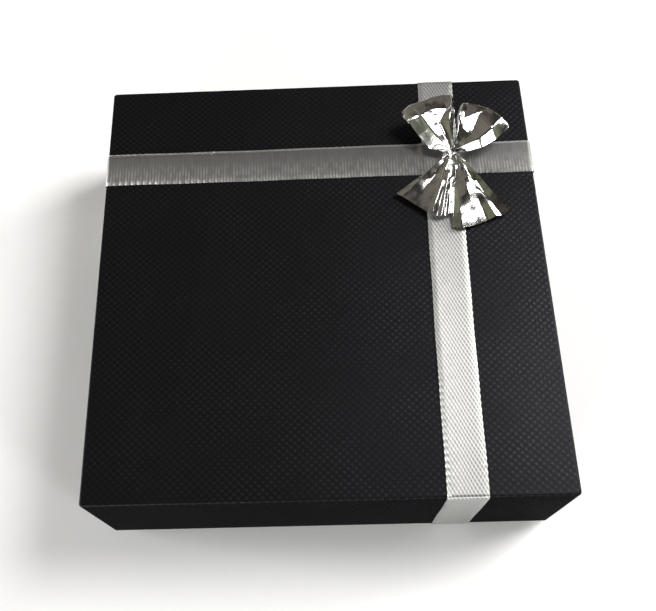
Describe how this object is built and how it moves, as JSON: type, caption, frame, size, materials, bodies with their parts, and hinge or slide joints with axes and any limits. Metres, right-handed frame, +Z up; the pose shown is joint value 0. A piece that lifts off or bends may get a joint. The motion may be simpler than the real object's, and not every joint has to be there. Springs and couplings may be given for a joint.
{
  "type": "jewelry gift box",
  "caption": "Square rigid gift box for jewelry: deep lift-off lid with crossed satin ribbons and a foil bow, over a base tray with a lift-out slit foam pad.",
  "frame": {"origin": "middle of the box's footprint, on the surface it stands on", "axes": "+Z up through the lid, -Y the front wall, +X to the right with the bow at the back right"},
  "size_m": [0.0904, 0.0904, 0.0388],
  "materials": {
    "greyboard": "matte",
    "stay_tape": "matte",
    "embossed_paper": "satin",
    "liner_paper": "matte",
    "foam": "matte",
    "flock": "matte",
    "ribbon": "satin",
    "sticky_foam": "matte",
    "bow_foil": "polished",
    "tie_thread": "gloss"
  },
  "bodies": {
    "base": {"base_board": "greyboard", "base_corner_stay_front_left": "stay_tape", "base_corner_stay_front_right": "stay_tape", "base_corner_stay_back_left": "stay_tape", "base_corner_stay_back_right": "stay_tape", "base_wrap": "embossed_paper", "base_lining": "liner_paper"},
    "insert": {"foam_pad": "foam", "flocked_facing": "flock"},
    "lid": {"lid_board": "greyboard", "lid_corner_stay_front_left": "stay_tape", "lid_corner_stay_front_right": "stay_tape", "lid_corner_stay_back_left": "stay_tape", "lid_corner_stay_back_right": "stay_tape", "lid_wrap": "embossed_paper", "lid_lining": "liner_paper", "ribbon_lengthwise": "ribbon", "ribbon_crosswise": "ribbon", "bow_adhesive_dot": "sticky_foam", "bow_loops": "bow_foil", "bow_tails": "bow_foil", "bow_tie": "tie_thread"}
  },
  "joints": [
    {"name": "insert_lift", "type": "slide", "parent": "base", "child": "insert", "axis": [0, 0, 1], "range_m": [0, 0.045]},
    {"name": "lid_lift", "type": "slide", "parent": "insert", "child": "lid", "axis": [0, 0, 1], "range_m": [0, 0.045]}
  ]
}
